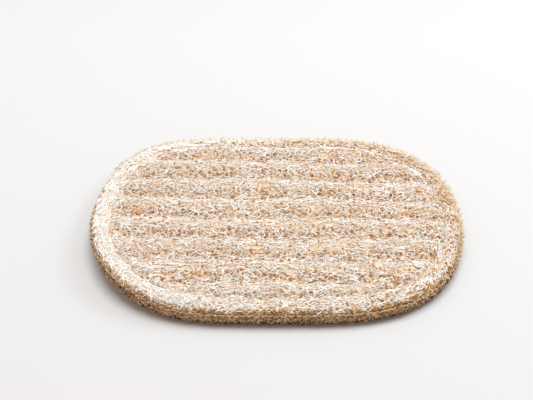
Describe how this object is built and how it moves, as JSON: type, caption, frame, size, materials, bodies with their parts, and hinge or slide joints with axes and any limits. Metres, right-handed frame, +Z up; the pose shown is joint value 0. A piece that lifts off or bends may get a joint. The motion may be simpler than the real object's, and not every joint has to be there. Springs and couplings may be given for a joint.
{
  "type": "loofah scrubbing pad",
  "caption": "Flat oval scrubbing pad: a ribbed sheet of natural loofah fibre sewn to a cotton terry backing, with a stitched border round its edge.",
  "frame": {"origin": "middle of the pad's length and width, on the table that it rests on", "axes": "+X along the pad's length and its ribs, away from the corner that curls up; +Y across the pad, away from the viewer; +Z up out of the loofah face"},
  "size_m": [0.1508, 0.112, 0.013],
  "materials": {
    "loofah": "dry cream plant fibre, an open net over a golden brown inside",
    "terry": "matt looped cotton pile, light brown",
    "thread": "matt twisted cotton sewing thread, cream"
  },
  "bodies": {
    "root": {"loofah_face": "loofah", "terry_back": "terry", "seam_thread": "thread", "top_thread": "thread"}
  },
  "joints": []
}
